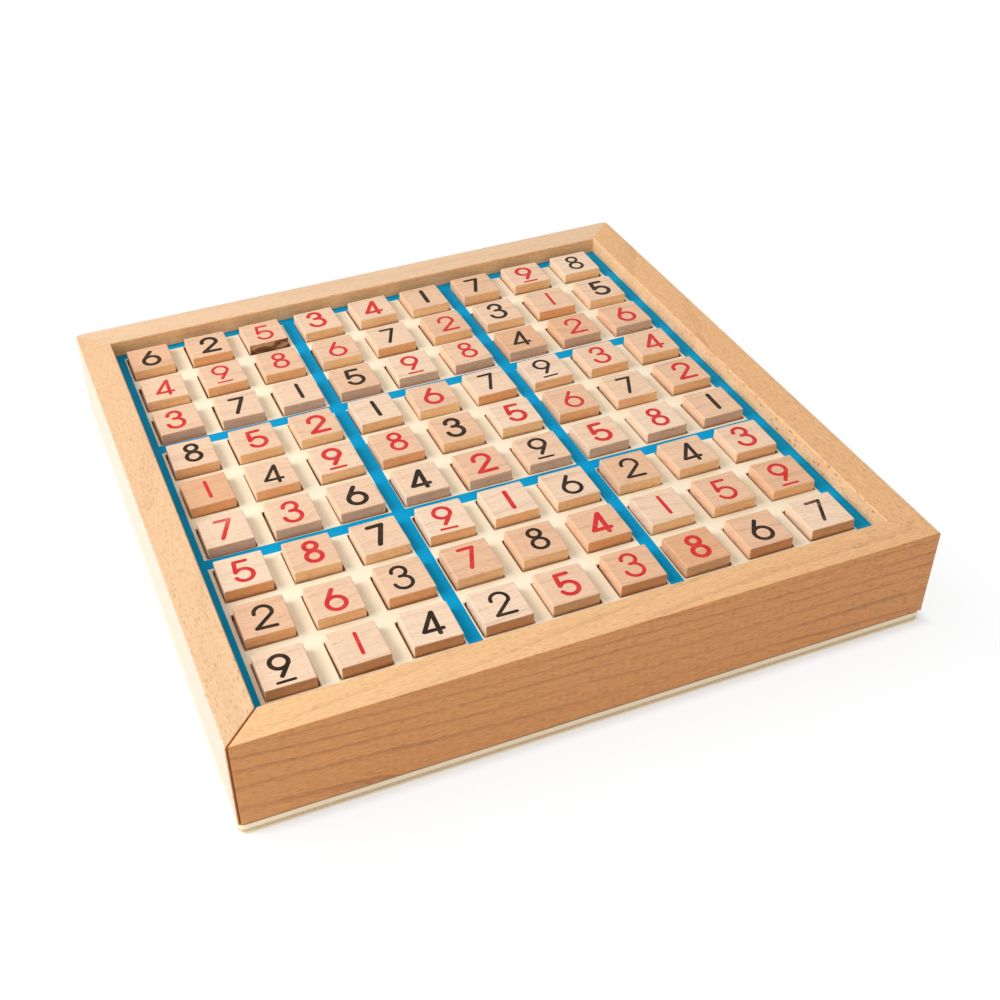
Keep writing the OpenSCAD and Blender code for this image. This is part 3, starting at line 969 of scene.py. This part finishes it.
class SUDOKU_OT_stage(bpy.types.Operator):
    """Make the studio: a white floor, a soft lamp on the left, even room light and the camera"""

    bl_idname = "sudoku.stage"
    bl_label = "Stage"

    # Half the floor's side and its gap under the base
    FLOOR = 4.0
    GAP = 0.05 * MM
    # The shadow under the board's edge and farther out: where it starts, where it ends and the white left at its start
    SHADOWS = ((0.149, 0.156, 0.2), (0.15, 0.21, 0.86))
    # Place, aim and side of the lamp
    LAMP = (-1.05, 0.1, 0.72)
    LAMP_AIM = (0, 0, 0.04)
    LAMP_SIDE = 0.9
    # Width of the camera's sensor in mm, and the nearest and farthest that it sees
    SENSOR = 36
    CLIP = (0.01, 20)

    def execute(self, context):
        stage = context.scene.sudoku_stage
        self.floor(stage)
        self.room(context.scene, stage)
        self.lamp(stage)
        self.camera(context.scene, stage)
        context.scene.view_settings.view_transform = "Standard"
        return {"FINISHED"}

    def floor(self, stage):
        """A square floor just under the base, white in the camera's eye but for the shadow."""
        half, low = self.FLOOR, CAD_BOX[0][2] - self.GAP
        corners = [(-half, -half, low), (half, -half, low), (half, half, low), (-half, half, low)]
        mesh = bpy.data.meshes.new("studio_floor")
        mesh.from_pydata(corners, [], [(0, 1, 2, 3)])
        new_object(mesh)
        material, tree = new_material("studio_floor")
        plain = node(tree, "BsdfDiffuse", {"Color": stage.floor}).outputs[0]
        glow = node(tree, "Emission", {"Color": stage.floor, "Strength": 1.0}).outputs[0]
        # The shadow shows near the board only, most under its edge; farther out the floor is plain white
        place = split(vector_maths("ABSOLUTE", here(tree)))
        away = maths("MAXIMUM", place["X"], place["Y"])
        rim, near = (ramp(away, start, end, least, smooth=True) for start, end, least in self.SHADOWS)
        share = maths("MULTIPLY", self.seen(tree), maths("MULTIPLY", rim, near))
        mixed = node(tree, "MixShader", {0: share, 1: plain, 2: glow}).outputs[0]
        node(tree, "OutputMaterial", {"Surface": mixed})
        mesh.materials.append(material)

    def seen(self, tree):
        """1 for rays from the camera and for mirrored and passing rays, 0 for the light that falls on things."""
        path = node(tree, "LightPath").outputs
        share = path["Is Camera Ray"]
        for ray in ("Is Glossy Ray", "Is Transmission Ray"):
            share = maths("MAXIMUM", share, path[ray])
        return share

    def room(self, scene, stage):
        """Even white light from all round, and a white background in the camera's eye."""
        world = bpy.data.worlds.new("studio")
        world.use_nodes = True
        tree = world.node_tree
        tree.nodes.clear()
        light = node(tree, "Background", {"Color": linear("#FFFFFF"), "Strength": stage.room_light}).outputs[0]
        back = node(tree, "Background", {"Color": linear("#FFFFFF"), "Strength": 1.0}).outputs[0]
        mixed = node(tree, "MixShader", {0: self.seen(tree), 1: light, 2: back}).outputs[0]
        node(tree, "OutputWorld", {"Surface": mixed}, is_active_output=True)
        scene.world = world

    def lamp(self, stage):
        """A square soft lamp on the left, a little to the back, above the board."""
        data = bpy.data.lights.new("key_light", "AREA")
        data.shape = "SQUARE"
        data.size = self.LAMP_SIDE
        data.energy = stage.key_power
        lamp = new_object(data)
        lamp.location = self.LAMP
        lamp.rotation_euler = (Vector(self.LAMP_AIM) - lamp.location).to_track_quat("-Z", "Y").to_euler()

    def camera(self, scene, stage):
        """The photograph's view: a line of sight from place to aim, turned about itself by the roll."""
        data = bpy.data.cameras.new("camera")
        data.lens, data.sensor_width = stage.lens, self.SENSOR
        data.shift_x, data.shift_y = stage.shift
        camera = new_object(data)
        place, aim = Vector(stage.camera_place), Vector(stage.camera_aim)
        sight = (aim - place).normalized()
        level = sight.cross(Vector((0, 0, 1))).normalized()
        rise = level.cross(sight)
        across = math.cos(stage.camera_roll) * level + math.sin(stage.camera_roll) * rise
        over = across.cross(sight)
        camera.matrix_world = Matrix.Translation(place) @ Matrix((across, over, -sight)).transposed().to_4x4()
        data.clip_start, data.clip_end = self.CLIP
        scene.camera = camera


class SUDOKU_PT_panel(bpy.types.Panel):
    """Lists the steps of the board and the values a user may change"""

    bl_idname = "SUDOKU_PT_panel"
    bl_label = "Sudoku board"
    bl_space_type = "VIEW_3D"
    bl_region_type = "UI"
    bl_category = "Sudoku board"

    def draw(self, context):
        for operator in OPERATORS:
            self.layout.operator(operator.bl_idname)
        for group in (context.scene.sudoku_sizes, context.scene.sudoku_colours, context.scene.sudoku_stage):
            box = self.layout.box()
            for key in group.__annotations__:
                box.prop(group, key)


GROUPS = {"sudoku_sizes": BoardSizes, "sudoku_colours": BoardColours, "sudoku_stage": StageSettings}
OPERATORS = (
    SUDOKU_OT_rails, SUDOKU_OT_board, SUDOKU_OT_base, SUDOKU_OT_tray, SUDOKU_OT_screws,
    SUDOKU_OT_tiles, SUDOKU_OT_numbers, SUDOKU_OT_stage,
)


def register():
    for name, group in GROUPS.items():
        bpy.utils.register_class(group)
        setattr(bpy.types.Scene, name, bpy.props.PointerProperty(type=group))
    for cls in (*OPERATORS, SUDOKU_PT_panel):
        bpy.utils.register_class(cls)


def unregister():
    for cls in (SUDOKU_PT_panel, *reversed(OPERATORS)):
        bpy.utils.unregister_class(cls)
    for name, group in GROUPS.items():
        delattr(bpy.types.Scene, name)
        bpy.utils.unregister_class(group)


def main():
    register()
    bpy.ops.sudoku.rails()
    bpy.ops.sudoku.board()
    bpy.ops.sudoku.base()
    bpy.ops.sudoku.tray()
    bpy.ops.sudoku.screws()
    bpy.ops.sudoku.tiles()
    bpy.ops.sudoku.numbers()
    bpy.ops.sudoku.stage()


if __name__ == "__main__":
    main()
